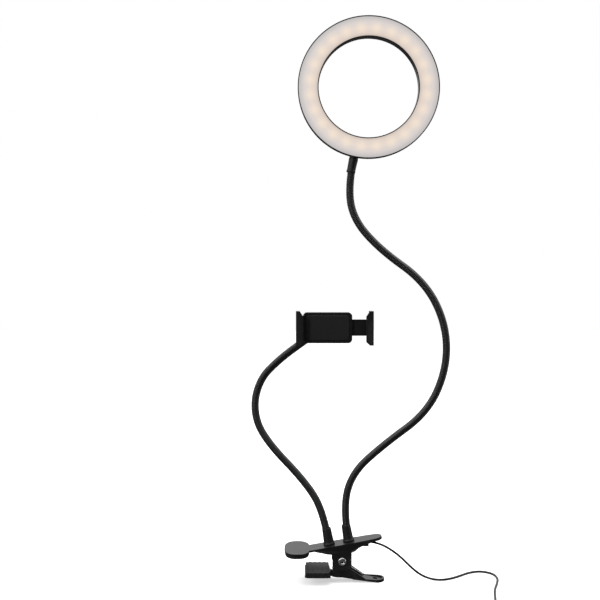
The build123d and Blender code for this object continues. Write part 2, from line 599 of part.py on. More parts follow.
def usb_plug():
    """A USB-A plug lying flat: moulded grip with a strain relief, metal shell, contact tongue."""
    grip_length, shell_length = 21.0, 18.75
    back = Vector(CORD_END[-1].X - 4, CORD_END[-1].Y, FLOOR + 4.0)
    grip = Box(grip_length, 15.6, 8.0)
    grip = fillet(grip.edges().filter_by(Axis.X), 2.0)
    grip = Pos(back.X - grip_length / 2, back.Y, back.Z) * grip
    relief = turned([(0, -0.5), (2.9, -0.5), (1.8, 7), (0, 7)], back, (1, 0, 0))
    shell = Box(shell_length, 12.0, 4.5) - Pos(-0.6, 0, 0) * Box(shell_length, 11.4, 3.9)
    tip = back.X - grip_length - shell_length / 2
    keep("usb_grip", grip + relief)
    keep("usb_shell", Pos(tip, back.Y, back.Z) * shell)
    keep("usb_tongue", Pos(tip + 0.3, back.Y, back.Z + 0.85) * Box(shell_length - 1.8, 11.2, 1.9))


# ---- Build ----
clamp_upper_lever()
clamp_upper_pad()
clamp_lower_lever()
clamp_lower_pad()
clamp_pivot_pin()
clamp_spring()
arm_fastenings()
cord_clip()
foot_sleeves()
gooseneck("ring_arm", RING_ARM, RING_ARM_BENDS)
gooseneck("phone_arm", PHONE_ARM, PHONE_ARM_BENDS)
ring_rear_housing()
ring_diffuser()
led_board()
ring_screws()
ring_top_sleeve()
phone_arm_end()
swivel_cup()
cradle_shells()
lock_nut()
cradle_jaws()
cord()
control_box()
usb_plug()

os.makedirs("parts", exist_ok=True)
for node, shape in PARTS.items():
    export_step(shape, f"parts/{node}.step")
print(len(PARTS), "sub-parts")
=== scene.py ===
# %% [markdown]
# # A clip-on ring light
# The real thing is a spring clamp with two goosenecks. One ends in a ring of LEDs behind a milky cover,
# the other in a small sprung cradle for a phone. A thin lead runs to a control box and a plug.
# The imported model holds every size, so this lesson only gives it its surfaces, its soft lines and its light.
# We load it first.

# %% Load the imported model
import json
import math

import bpy
from mathutils import Matrix, Vector


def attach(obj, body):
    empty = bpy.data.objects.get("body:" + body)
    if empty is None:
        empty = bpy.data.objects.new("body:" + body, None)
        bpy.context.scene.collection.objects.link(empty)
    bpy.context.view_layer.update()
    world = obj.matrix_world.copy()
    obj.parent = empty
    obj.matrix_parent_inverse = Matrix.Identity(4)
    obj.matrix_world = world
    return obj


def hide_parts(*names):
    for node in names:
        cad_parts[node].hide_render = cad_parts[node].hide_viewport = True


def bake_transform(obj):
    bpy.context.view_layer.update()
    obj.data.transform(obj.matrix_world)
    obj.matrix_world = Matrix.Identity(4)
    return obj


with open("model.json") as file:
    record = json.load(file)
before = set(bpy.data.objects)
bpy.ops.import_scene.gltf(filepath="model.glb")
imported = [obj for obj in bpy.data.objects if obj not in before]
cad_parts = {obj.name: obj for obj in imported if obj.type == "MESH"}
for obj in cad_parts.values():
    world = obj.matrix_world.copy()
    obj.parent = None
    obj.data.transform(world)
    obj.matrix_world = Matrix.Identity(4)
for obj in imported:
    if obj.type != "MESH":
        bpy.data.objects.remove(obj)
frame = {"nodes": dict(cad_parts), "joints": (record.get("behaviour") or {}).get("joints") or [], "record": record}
nodes = frame["nodes"]
joints = {joint["name"]: joint for joint in frame["joints"]}
bodies = frame["record"]["behaviour"]["bodies"]
body_of_node = {node: body for body, group in bodies.items() for node in group}
slot_of_node = {part["node"]: part["material_slot"] for part in frame["record"]["subparts"]}
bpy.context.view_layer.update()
MM = 0.001

# %% [markdown]
# ## A camera, a floor and soft light
# A product picture of a black object is mostly a picture of what it reflects. A bright room in front would
# wash it out, and a dark room behind would leave flat silhouettes. So the world is dark in front, and bright
# behind and above, where it draws long highlights along the edges. The camera alone sees it white, and it
# sees the floor white too, while the object reflects a dark floor.

# %% The camera
CAMERA_AT = (0.003, -0.9593, 0.2914)
CAMERA_TILT = 1.43                      # degrees that it looks down
LENS = 54.72
bpy.ops.object.camera_add(location=CAMERA_AT, rotation=(math.radians(90 - CAMERA_TILT), 0, 0))
camera = bpy.context.object
camera.name = "camera"
camera.data.lens = LENS
bpy.context.scene.camera = camera
bpy.context.scene.view_settings.view_transform = "Standard"


# %% Two nodes that many trees use
def math_node(tree, operation, first, second):
    """A Math node on two links or numbers."""
    node = tree.nodes.new("ShaderNodeMath")
    node.operation = operation
    for socket, value in zip(node.inputs, (first, second)):
        if isinstance(value, (int, float)):
            socket.default_value = value
        else:
            tree.links.new(value, socket)
    return node.outputs[0]


def eased_range(tree, value, start, stop, lowest=0.0):
    """Rises smoothly from its lowest value to 1 while the input goes from start to stop."""
    node = tree.nodes.new("ShaderNodeMapRange")
    node.interpolation_type = "SMOOTHSTEP"
    node.inputs["From Min"].default_value = start
    node.inputs["From Max"].default_value = stop
    node.inputs["To Min"].default_value = lowest
    tree.links.new(value, node.inputs["Value"])
    return node.outputs["Result"]


# %% The world: dark in front, bright behind and above
def build_world():
    world = bpy.data.worlds.new("studio")
    bpy.context.scene.world = world
    world.use_nodes = True
    tree = world.node_tree
    tree.nodes.clear()
    place = tree.nodes.new("ShaderNodeTexCoord")
    split = tree.nodes.new("ShaderNodeSeparateXYZ")
    tree.links.new(place.outputs["Generated"], split.inputs[0])
    behind = eased_range(tree, split.outputs["Y"], -0.25, 0.75, 0.03)
    risen = eased_range(tree, split.outputs["Z"], 0.02, 0.26, 0.04)
    above = eased_range(tree, split.outputs["Z"], 0.35, 0.95)
    backdrop = math_node(tree, "MULTIPLY", behind, risen)
    lit = tree.nodes.new("ShaderNodeBackground")
    lit.inputs["Color"].default_value = (1.05, 1.05, 1.06, 1)
    tree.links.new(math_node(tree, "MAXIMUM", backdrop, above), lit.inputs["Strength"])
    seen = tree.nodes.new("ShaderNodeBackground")
    seen.inputs["Color"].default_value = (1, 1, 1, 1)
    rays = tree.nodes.new("ShaderNodeLightPath")
    mix = tree.nodes.new("ShaderNodeMixShader")
    tree.links.new(rays.outputs["Is Camera Ray"], mix.inputs[0])
    tree.links.new(lit.outputs[0], mix.inputs[1])
    tree.links.new(seen.outputs[0], mix.inputs[2])
    out = tree.nodes.new("ShaderNodeOutputWorld")
    tree.links.new(mix.outputs[0], out.inputs[0])


build_world()


# %% Softboxes
def softbox(name, at, aim, size, power):
    bpy.ops.object.light_add(type="AREA", location=at)
    light = bpy.context.object
    light.name = name
    light.rotation_euler = (Vector(aim) - Vector(at)).to_track_quat("-Z", "Y").to_euler()
    light.data.shape = "RECTANGLE"
    light.data.size, light.data.size_y = size
    light.data.energy = power


softbox("overhead", (0.1, 0.15, 1.6), (0.05, 0, 0.1), (1.6, 1.2), 20)
softbox("left_strip", (-1.2, -0.35, 0.6), (0.03, 0, 0.25), (0.25, 1.2), 4)
softbox("right_strip", (1.3, -0.1, 0.5), (0.05, 0, 0.25), (0.25, 1.2), 3)
softbox("front_left", (-0.75, -1.2, 0.65), (0.04, 0, 0.2), (0.20, 0.9), 4.5)

# %% The floor
FLOOR = -29.5 * MM                      # level with the clamp's lowest edge, where the cord lies
FLOOR_SEEN, FLOOR_REFLECTED = 0.93, 0.10    # how pale it is to the camera, and to all else
FLOOR_GLOW = 0.5                        # its own light, for the camera only


def build_floor():
    bpy.ops.mesh.primitive_plane_add(size=9, location=(0, 0, FLOOR - 0.02 * MM))
    floor = bpy.context.object
    floor.name = "floor"
    paper = bpy.data.materials.new("white_paper")
    paper.use_nodes = True
    tree = paper.node_tree
    shader = tree.nodes["Principled BSDF"]
    rays = tree.nodes.new("ShaderNodeLightPath")
    shade = tree.nodes.new("ShaderNodeMapRange")
    shade.inputs["To Min"].default_value = FLOOR_REFLECTED
    shade.inputs["To Max"].default_value = FLOOR_SEEN
    tree.links.new(rays.outputs["Is Camera Ray"], shade.inputs["Value"])
    tree.links.new(shade.outputs["Result"], shader.inputs["Base Color"])
    glow = math_node(tree, "MULTIPLY", rays.outputs["Is Camera Ray"], FLOOR_GLOW)
    tree.links.new(glow, shader.inputs["Emission Strength"])
    shader.inputs["Emission Color"].default_value = (1, 1, 1, 1)
    shader.inputs["Roughness"].default_value = 0.9
    shader.inputs["Specular IOR Level"].default_value = 0.0
    floor.data.materials.append(paper)


build_floor()

# %% [markdown]
# ## Effects that several finishes share
# Black plastic and black paint look dead when one colour covers them. Three things make them real: a fine
# grain from the mould or the powder coat, edges that are a little paler where hands rub them, and a trace
# of dust on what faces up. Each is a node group, built once, and each material sets its own values.


# %% A node group and its sockets
def new_group(name, inputs, outputs):
    """An empty shader group. inputs maps each name to its socket type and default value."""
    group = bpy.data.node_groups.new(name, "ShaderNodeTree")
    for label, (kind, value) in inputs.items():
        group.interface.new_socket(label, in_out="INPUT", socket_type=kind).default_value = value
    for label, kind in outputs.items():
        group.interface.new_socket(label, in_out="OUTPUT", socket_type=kind)
    return group, group.nodes.new("NodeGroupInput"), group.nodes.new("NodeGroupOutput")


def mix_colours(tree, factor, first, second):
    """A colour mix of two links."""
    node = tree.nodes.new("ShaderNodeMix")
    node.data_type = "RGBA"
    tree.links.new(factor, node.inputs["Factor"])
    tree.links.new(first, node.inputs["A"])
    tree.links.new(second, node.inputs["B"])
    return node.outputs["Result"]


# %% Fine grain: a bump, with a little drift in the roughness
def build_grain():
    group, inside, outside = new_group(
        "fine_grain",
        {"Scale": ("NodeSocketFloat", 1800.0), "Depth": ("NodeSocketFloat", 0.1),
         "Roughness": ("NodeSocketFloat", 0.4), "Drift": ("NodeSocketFloat", 0.08)},
        {"Normal": "NodeSocketVector", "Roughness": "NodeSocketFloat"})
    place = group.nodes.new("ShaderNodeTexCoord")
    grain = group.nodes.new("ShaderNodeTexNoise")
    grain.inputs["Detail"].default_value = 3.0
    group.links.new(place.outputs["Object"], grain.inputs["Vector"])
    group.links.new(inside.outputs["Scale"], grain.inputs["Scale"])
    bump = group.nodes.new("ShaderNodeBump")
    bump.inputs["Distance"].default_value = 0.1 * MM
    group.links.new(inside.outputs["Depth"], bump.inputs["Strength"])
    group.links.new(grain.outputs["Fac"], bump.inputs["Height"])
    patches = group.nodes.new("ShaderNodeTexNoise")
    patches.inputs["Scale"].default_value = 45.0
    patches.inputs["Detail"].default_value = 4.0
    group.links.new(place.outputs["Object"], patches.inputs["Vector"])
    centred = math_node(group, "SUBTRACT", patches.outputs["Fac"], 0.5)
    drift = math_node(group, "MULTIPLY", centred, inside.outputs["Drift"])
    group.links.new(math_node(group, "ADD", inside.outputs["Roughness"], drift), outside.inputs["Roughness"])
    group.links.new(bump.outputs["Normal"], outside.inputs["Normal"])
    return group


# %% Rubbed edges: paler where the surface is convex
def build_rubbed_edges():
    group, inside, outside = new_group(
        "rubbed_edges",
        {"Color": ("NodeSocketColor", (0.02, 0.02, 0.02, 1)), "Edge": ("NodeSocketColor", (0.1, 0.1, 0.1, 1)),
         "Amount": ("NodeSocketFloat", 0.5)},
        {"Color": "NodeSocketColor"})
    shape = group.nodes.new("ShaderNodeNewGeometry")
    ramp = group.nodes.new("ShaderNodeValToRGB")
    ramp.color_ramp.elements[0].position = 0.52
    ramp.color_ramp.elements[1].position = 0.62
    group.links.new(shape.outputs["Pointiness"], ramp.inputs[0])
    place = group.nodes.new("ShaderNodeTexCoord")
    breaks = group.nodes.new("ShaderNodeTexNoise")
    breaks.inputs["Scale"].default_value = 220.0
    breaks.inputs["Detail"].default_value = 5.0
    group.links.new(place.outputs["Object"], breaks.inputs["Vector"])
    broken = math_node(group, "MULTIPLY", ramp.outputs["Color"], breaks.outputs["Fac"])
    amount = math_node(group, "MULTIPLY", broken, inside.outputs["Amount"])
    colour = mix_colours(group, amount, inside.outputs["Color"], inside.outputs["Edge"])
    group.links.new(colour, outside.inputs["Color"])
    return group


# %% Settled dust: paler and patchy where the surface faces up
def build_dust():
    group, inside, outside = new_group(
        "settled_dust",
        {"Color": ("NodeSocketColor", (0.02, 0.02, 0.02, 1)), "Amount": ("NodeSocketFloat", 0.05)},
        {"Color": "NodeSocketColor"})
    shape = group.nodes.new("ShaderNodeNewGeometry")
    split = group.nodes.new("ShaderNodeSeparateXYZ")
    group.links.new(shape.outputs["Normal"], split.inputs[0])
    upward = math_node(group, "MAXIMUM", split.outputs["Z"], 0.0)
    place = group.nodes.new("ShaderNodeTexCoord")
    specks = group.nodes.new("ShaderNodeTexNoise")
    specks.inputs["Scale"].default_value = 600.0
    specks.inputs["Detail"].default_value = 6.0
    group.links.new(place.outputs["Object"], specks.inputs["Vector"])
    patchy = math_node(group, "MULTIPLY", upward, specks.outputs["Fac"])
    amount = math_node(group, "MULTIPLY", patchy, inside.outputs["Amount"])
    pale = group.nodes.new("ShaderNodeRGB")
    pale.outputs[0].default_value = (0.5, 0.48, 0.45, 1)
    colour = mix_colours(group, amount, inside.outputs["Color"], pale.outputs[0])
    group.links.new(colour, outside.inputs["Color"])
    return group


GRAIN, RUBBED, DUST = build_grain(), build_rubbed_edges(), build_dust()
print("node groups:", [group.name for group in bpy.data.node_groups])


# %% [markdown]
# ## The finishes
# Nearly everything here is black, so the finishes differ in gloss and grain more than in colour: satin
# mouldings, softer rubber, a coated metal winding, a vinyl cord. One function lays out what they share, and
# each finish below names its own numbers.


# %% One finish from a colour, a gloss and the shared effects
def finish(name, colour, roughness, grain=(1800.0, 0.1), edge=None, wear=0.4, dust=0.03, metal=0.0,
           drift=0.08):
    """A material. grain is its scale and depth, edge the colour of rubbed edges, metal 1 on bare metal."""
    material = bpy.data.materials.new(name)
    material.use_nodes = True
    tree = material.node_tree
    shader = tree.nodes["Principled BSDF"]
    shader.inputs["Metallic"].default_value = metal
    texture = tree.nodes.new("ShaderNodeGroup")
    texture.node_tree = GRAIN
    texture.inputs["Scale"].default_value = grain[0]
    texture.inputs["Depth"].default_value = grain[1]
    texture.inputs["Roughness"].default_value = roughness
    texture.inputs["Drift"].default_value = drift
    tree.links.new(texture.outputs["Normal"], shader.inputs["Normal"])
    tree.links.new(texture.outputs["Roughness"], shader.inputs["Roughness"])
    worn = tree.nodes.new("ShaderNodeGroup")
    worn.node_tree = RUBBED
    worn.inputs["Color"].default_value = (*colour, 1)
    worn.inputs["Edge"].default_value = (*(edge or colour), 1)
    worn.inputs["Amount"].default_value = wear
    dusty = tree.nodes.new("ShaderNodeGroup")
    dusty.node_tree = DUST
    dusty.inputs["Amount"].default_value = dust
    tree.links.new(worn.outputs["Color"], dusty.inputs["Color"])
    tree.links.new(dusty.outputs["Color"], shader.inputs["Base Color"])
    return material


BLACK = (0.006, 0.006, 0.0065)
CLAMP_BLACK = (0.006, 0.006, 0.0062)
SHELL_BLACK = (0.0065, 0.0065, 0.007)
finishes = {
    "gooseneck": finish("coated_winding", BLACK, 0.29, (2600.0, 0.05), (0.05, 0.05, 0.052), 0.25),
    "sleeve_rubber": finish("sleeve_rubber", BLACK, 0.50, (1500.0, 0.10), (0.03, 0.03, 0.03)),
    "clamp_plastic": finish("clamp_moulding", CLAMP_BLACK, 0.33, (900.0, 0.10), (0.09, 0.09, 0.09), 0.6),
    "grip_rubber": finish("grip_rubber", CLAMP_BLACK, 0.65, (1200.0, 0.2), (0.04, 0.04, 0.04)),
    "bright_steel": finish("bright_steel", (0.62, 0.61, 0.60), 0.22, (3000.0, 0.05), dust=0.0, metal=1.0),
    "fastener_steel": finish("zinc_steel", (0.55, 0.54, 0.52), 0.35, (2000.0, 0.08), dust=0.0, metal=1.0),
    "plug_shell": finish("nickel_shell", (0.70, 0.68, 0.65), 0.18, (2500.0, 0.05), dust=0.0, metal=1.0),
    "ball": finish("black_ball", BLACK, 0.22, (1500.0, 0.03)),
    "cord_jacket": finish("cord_vinyl", BLACK, 0.38, (1600.0, 0.06), dust=0.04),
    "cord_moulding": finish("soft_vinyl", BLACK, 0.45, (1300.0, 0.1), (0.04, 0.04, 0.04)),
    "tie": finish("tie_rubber", (0.009, 0.009, 0.0095), 0.6, (1200.0, 0.2)),
    "control_plastic": finish("control_moulding", SHELL_BLACK, 0.30, (1000.0, 0.08), (0.07, 0.07, 0.07)),
    "button_rubber": finish("button_rubber", (0.06, 0.06, 0.063), 0.5, (1500.0, 0.1)),
    "circuit_board": finish("solder_mask", (0.80, 0.81, 0.79), 0.3, (1200.0, 0.05), dust=0.0),
    "led": finish("led_phosphor", (0.90, 0.72, 0.25), 0.3, (2000.0, 0.05), dust=0.0),
    "plug_tongue": finish("white_tongue", (0.80, 0.80, 0.78), 0.4, (1500.0, 0.05), dust=0.0),
    "ring_plastic": finish("ring_moulding", BLACK, 0.34, (1100.0, 0.08), (0.06, 0.06, 0.06)),
    "liner": finish("nylon_liner", (0.70, 0.69, 0.65), 0.4, (1200.0, 0.05), dust=0.0),
    "cradle_plastic": finish("cradle_moulding", SHELL_BLACK, 0.36, (1000.0, 0.1), (0.08, 0.08, 0.08), 0.6),
}

# %% [markdown]
# ## The milky cover's finish
# Twenty-four warm LEDs shine on the back of a milky cover. Each makes a soft round patch, and between the
# patches and the outer rim the cover turns cool and a little darker. A light behind a real translucent sheet
# would be slow and noisy, so the patches are worked out instead, from each point's distance and direction
# from the ring's centre.

# %% The lit cover
RING_CENTRE = Vector((74.5, 0, 489)) * MM
RING_OUT, RING_IN = 73.9 * MM, 52.2 * MM
LED_CIRCLE, LED_COUNT, FIRST_LED = 61.5 * MM, 24, 7.5
PATCH = 8.5 * MM                        # how far each LED's patch spreads
PATCH_STRENGTH = 0.75
COVER_GLOW = 0.93
GLOW_PAINTED_SHARE = 0.15                      # share of the glow, patches and darker rim, painted into the surface colour as painted light
COVER_COLOURS = (                       # from the inner rim to the outer one
    (0.0, (0.56, 0.48, 0.43)), (0.18, (0.74, 0.64, 0.57)), (0.42, (0.79, 0.69, 0.62)),
    (0.70, (0.69, 0.64, 0.62)), (1.0, (0.50, 0.485, 0.49)))


def lit_cover():
    material = bpy.data.materials.new("milky_cover")
    material.use_nodes = True
    tree = material.node_tree
    shader = tree.nodes["Principled BSDF"]
    place = tree.nodes.new("ShaderNodeTexCoord")
    centred = tree.nodes.new("ShaderNodeMapping")
    centred.inputs["Location"].default_value = -RING_CENTRE
    tree.links.new(place.outputs["Object"], centred.inputs["Vector"])
    split = tree.nodes.new("ShaderNodeSeparateXYZ")
    tree.links.new(centred.outputs[0], split.inputs[0])
    x, z = split.outputs["X"], split.outputs["Z"]
    squares = math_node(tree, "ADD", math_node(tree, "MULTIPLY", x, x), math_node(tree, "MULTIPLY", z, z))
    radius = math_node(tree, "POWER", squares, 0.5)
    turn = math_node(tree, "ARCTAN2", z, x)
    steps = math_node(tree, "MULTIPLY", turn, LED_COUNT / math.tau)
    between = math_node(tree, "FRACT", math_node(tree, "ADD", steps, LED_COUNT), 0.0)
    off_turn = math_node(tree, "SUBTRACT", between, FIRST_LED * LED_COUNT / 360)
    sideways = math_node(tree, "MULTIPLY", off_turn, math.tau * LED_CIRCLE / LED_COUNT)
    outwards = math_node(tree, "SUBTRACT", radius, LED_CIRCLE)
    away = math_node(tree, "ADD", math_node(tree, "MULTIPLY", sideways, sideways),
                     math_node(tree, "MULTIPLY", outwards, outwards))
    fall = math_node(tree, "MULTIPLY", away, -1 / (PATCH * PATCH * 0.35))
    patch = math_node(tree, "EXPONENT", fall, 0.0)
    across = tree.nodes.new("ShaderNodeMapRange")
    across.inputs["From Min"].default_value = RING_IN
    across.inputs["From Max"].default_value = RING_OUT
    tree.links.new(radius, across.inputs["Value"])
    ramp = tree.nodes.new("ShaderNodeValToRGB")
    while len(ramp.color_ramp.elements) < len(COVER_COLOURS):
        ramp.color_ramp.elements.new(0.5)
    for element, (position, colour) in zip(ramp.color_ramp.elements, COVER_COLOURS):
        element.position = position
        element.color = (*colour, 1)
    tree.links.new(across.outputs["Result"], ramp.inputs[0])
    warm = tree.nodes.new("ShaderNodeRGB")
    warm.outputs[0].default_value = (0.91, 0.77, 0.64, 1)
    strength = math_node(tree, "MULTIPLY", patch, PATCH_STRENGTH)
    glow = mix_colours(tree, strength, ramp.outputs["Color"], warm.outputs[0])
    # The surface colour is a share of the glow: painted light from the LEDs, their warm patches and the darker
    # outer band, not the cover's own colour.
    dimmed = tree.nodes.new("ShaderNodeVectorMath")
    dimmed.operation = "SCALE"
    dimmed.inputs["Scale"].default_value = GLOW_PAINTED_SHARE
    tree.links.new(glow, dimmed.inputs[0])
    tree.links.new(dimmed.outputs[0], shader.inputs["Base Color"])
    tree.links.new(glow, shader.inputs["Emission Color"])
    shader.inputs["Emission Strength"].default_value = COVER_GLOW
    texture = tree.nodes.new("ShaderNodeGroup")
    texture.node_tree = GRAIN
    texture.inputs["Scale"].default_value = 900.0
    texture.inputs["Depth"].default_value = 0.04
    texture.inputs["Roughness"].default_value = 0.42
    tree.links.new(texture.outputs["Normal"], shader.inputs["Normal"])
    tree.links.new(texture.outputs["Roughness"], shader.inputs["Roughness"])
    return material


finishes["diffuser"] = lit_cover()

# %% [markdown]
# ## Working by hand, one piece at a time
# Every operator acts on whatever is selected, so each step starts by selecting one piece only. A turned part
# is drawn as a half section and spun. A winding is one bulge of wire, wound up by a Screw modifier. A moulded
# part that the model already holds is copied, its triangles are joined into flat faces, and its edges are
# rounded, because no moulded edge is sharp.


# %% Select, draw and place
def alone(piece):
    """Only this piece is selected, and it is the active one."""
    bpy.ops.object.select_all(action="DESELECT")
    piece.select_set(True)
    bpy.context.view_layer.objects.active = piece


def drawn(name, points):
    """A chain of edges through the points, drawn out from a single corner, and left in edit mode."""
    bpy.ops.object.select_all(action="DESELECT")
    bpy.ops.mesh.primitive_plane_add(size=MM)
    piece = bpy.context.object
    piece.name = piece.data.name = name
    bpy.ops.object.mode_set(mode="EDIT")
    bpy.ops.mesh.select_all(action="SELECT")
    bpy.ops.mesh.merge(type="CENTER")
    bpy.ops.transform.translate(value=points[0])
    for before, here in zip(points, points[1:]):
        bpy.ops.mesh.extrude_region_move(TRANSFORM_OT_translate={"value": Vector(here) - Vector(before)})
    return piece


def placed(piece, origin, direction):
    """Moves a piece made about Z at the origin to its axis, in its mesh."""
    turn = Vector(direction).normalized().to_track_quat("Z", "Y").to_matrix().to_4x4()
    piece.data.transform(Matrix.Translation(origin) @ turn)
    return piece


def modify(piece, kind, **settings):
    """Adds a modifier and applies it."""
    alone(piece)
    modifier = piece.modifiers.new(kind.lower(), kind)
    for name, value in settings.items():
        setattr(modifier, name, value)
    bpy.ops.object.modifier_apply(modifier=modifier.name)
    return piece


def smooth(piece, degrees=32):
    alone(piece)
    bpy.ops.object.shade_smooth_by_angle(angle=math.radians(degrees))
    return piece


def open_edges(piece):
    """How many edges don't have two faces, which is none on a closed piece."""
    uses = {}
    for polygon in piece.data.polygons:
        for key in polygon.edge_keys:
            uses[key] = uses.get(key, 0) + 1
    return sum(count != 2 for count in uses.values())


def settle(piece, body, stands_for):
    """A finished piece takes its finish and stands for its CAD nodes. It rides on its body, if it has one."""
    slot = slot_of_node[stands_for[0]]
    piece.data.materials.clear()
    piece.data.materials.append(finishes[slot])
    if body:
        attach(piece, body)
    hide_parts(*stands_for)
    return piece


# %% Turned pieces: a half section, spun
def turned(name, section, origin, direction, steps=64):
    """A closed half section in millimetres of radius and height, spun about an axis."""
    points = [(radius * MM, 0, height * MM) for radius, height in section]
    piece = drawn(name, [*points, points[0]])
    bpy.ops.mesh.select_all(action="SELECT")
    bpy.ops.mesh.remove_doubles(threshold=0.001 * MM)
    bpy.ops.mesh.spin(steps=steps, angle=math.tau, center=(0, 0, 0), axis=(0, 0, 1))
    bpy.ops.mesh.select_all(action="SELECT")
    bpy.ops.mesh.remove_doubles(threshold=0.002 * MM)
    bpy.ops.mesh.normals_make_consistent(inside=False)
    bpy.ops.object.mode_set(mode="OBJECT")
    return placed(piece, origin, direction)


NEARLY_STRAIGHT = 1.55                  # half a corner's angle, past which it isn't rounded


def rounded(section, radii, steps=5):
    """The section with each corner rounded by its own radius, as an arc of a few steps."""
    points = []
    count = len(section)
    for index, (corner, radius) in enumerate(zip(section, radii)):
        here = Vector(corner)
        back = (Vector(section[index - 1]) - here).normalized()
        on = (Vector(section[(index + 1) % count]) - here).normalized()
        half = back.angle(on) / 2
        if radius == 0 or half > NEARLY_STRAIGHT:
            points.append(tuple(here))
            continue
        reach = radius / math.tan(half)
        centre = here + (back + on).normalized() * (radius / math.sin(half))
        first, last = here + back * reach - centre, here + on * reach - centre
        for step in range(steps + 1):
            share = step / steps
            spoke = (first * (1 - share) + last * share).normalized() * radius
            points.append(tuple(centre + spoke))
    return points


# %% Moulded pieces: a copy with its edges eased
def eased(name, node, width, segments=3, sharp=30):
    """A copy of a CAD node whose flat faces are whole and whose edges are rounded."""
    piece = bpy.data.objects.new(name, nodes[node].data.copy())
    bpy.context.scene.collection.objects.link(piece)
    alone(piece)
    bpy.ops.mesh.customdata_custom_splitnormals_clear()
    bpy.ops.object.mode_set(mode="EDIT")
    bpy.ops.mesh.select_all(action="SELECT")
    bpy.ops.mesh.remove_doubles(threshold=0.002 * MM)
    bpy.ops.mesh.dissolve_limited(angle_limit=math.radians(0.8))
    bpy.ops.object.mode_set(mode="OBJECT")
    modify(piece, "BEVEL", width=width * MM, segments=segments, limit_method="ANGLE",
           angle_limit=math.radians(sharp), use_clamp_overlap=True)
    smooth(piece)
    modify(piece, "WEIGHTED_NORMAL", keep_sharp=True, weight=80)
    print(name, len(piece.data.polygons), "faces,", open_edges(piece), "open edges")
    return piece


# %% [markdown]
# ## The cord
# The lead is thin and limp. It leaves the clip under the upper handle almost level, falls to the table,
# wanders to the right, turns and comes forward to its control box. What is left over is put away as a small
# tied coil, and the plug lies beside it. It is one line, so it is one curve from the clip to the plug.

# %% The cord's route
CORD_LEAD = [
    (77.5, 0, 11.3), (86.5, 0, 9.9), (98.5, 0, 3.6), (109, 0, -4.2), (121, 0, -16.2),
    (131, 0, -24.2), (142, -0.6, -28.3), (153, -3.6, -28.3), (165, 2, -28.3), (176, 11.4, -28.3),
    (187, 21.5, -28.3), (200, 25.5, -28.3), (211, 17.5, -28.3), (213.5, 3.5, -28.3),
    (209, -14, -28.3), (202, -34, -28.3), (198, -56, -28.3), (194.5, -75, -28.3),
    (187.5, -88.5, -27.6), (177, -93.6, -25.6), (167.5, -94, -24.75)]
CORD_IN_BOX = [(162.5, -94, -24.9), (158.5, -94, -27), (113.5, -94, -27), (109.5, -94, -24.9)]
CORD_LINK = [(104.5, -94, -24.75), (94, -94.3, -25.6), (83, -94.8, -27.1), (72, -94.2, -27.5)]
CORD_END = [(54.9, -95.6, -20.3), (45.5, -100, -21.4), (36, -103.6, -24.6), (26.5, -105.2, -25.5)]
CORD_THICK = 2.4
COIL_CENTRE = (62.0, -110.8)
COIL_LOW = -27.5                        # height of the lowest turns' centre line
COIL_RADII = (16.8, 14.4, 12.0)
COIL_LAYERS = 4
TURN_POINTS = 18
SECTOR = 44                             # degrees in which a turn passes to the next place
FIRST_CROSSING = 25                     # degrees at which the top layer's crossings start


def coil_turns():
    """The coil's places, outer column first and then inner, and back on the next layer."""
    for layer in range(COIL_LAYERS):
        columns = COIL_RADII if layer % 2 == 0 else COIL_RADII[::-1]
        for radius in columns:
            yield layer, radius, COIL_LOW + layer * CORD_THICK


def coil_points():
    """The coil as one winding. Each turn passes to the next place within its own sector, so none touch."""
    places = list(coil_turns())
    points = []
    for index, (layer, radius, height) in enumerate(places):
        next_layer, next_radius, next_height = places[min(index + 1, len(places) - 1)]
        start = FIRST_CROSSING + SECTOR * 2 * (COIL_LAYERS - 1 - layer)
        if next_layer != layer:
            start -= SECTOR
        for step in range(TURN_POINTS + (index == len(places) - 1)):
            turned_by = 360 * step / TURN_POINTS
            share = min(max((turned_by - start) / SECTOR, 0), 1)
            share = share * share * (3 - 2 * share)
            reach = (radius + (next_radius - radius) * share) / math.cos(math.pi / TURN_POINTS)
            angle = math.radians(90 + turned_by)
            points.append((COIL_CENTRE[0] + reach * math.cos(angle),
                           COIL_CENTRE[1] + reach * math.sin(angle),
                           height + (next_height - height) * share))
    return points


# %% One spline from the clip to the plug
def spline_curve(name, points, thickness=0.0, smoothness=8):
    """A NURBS curve of order 3 with these control points, in millimetres."""
    data = bpy.data.curves.new(name, "CURVE")
    data.dimensions = "3D"
    data.resolution_u = smoothness
    spline = data.splines.new("NURBS")
    spline.points.add(len(points) - 1)
    for target, point in zip(spline.points, points):
        target.co = (*(Vector(point) * MM), 1)
    spline.order_u = 3
    spline.use_endpoint_u = True
    data.bevel_depth = thickness / 2 * MM
    data.bevel_resolution = 4
    data.use_fill_caps = thickness > 0
    curve = bpy.data.objects.new(name, data)
    bpy.context.scene.collection.objects.link(curve)
    return curve


def line_of(curve):
    """The points along a curve that has no thickness."""
    mesh = bpy.data.meshes.new_from_object(curve)
    points = [vertex.co.copy() for vertex in mesh.vertices]
    bpy.data.meshes.remove(mesh)
    return points


def length_of(points):
    return sum((b - a).length for a, b in zip(points, points[1:]))


CORD_POINTS = [*CORD_LEAD, *CORD_IN_BOX, *CORD_LINK, *coil_points(), *CORD_END]
bare = spline_curve("bare_cord", CORD_POINTS)
bpy.context.view_layer.update()
CORD_LENGTH = length_of(line_of(bare))
bpy.data.objects.remove(bare)
cord = spline_curve("cord", CORD_POINTS, CORD_THICK)
settle(cord, "clamp", ("cord_lead", "cord_link", "cord_coil", "cord_end"))
print("cord length", round(CORD_LENGTH, 4), "m with", len(CORD_POINTS), "points")
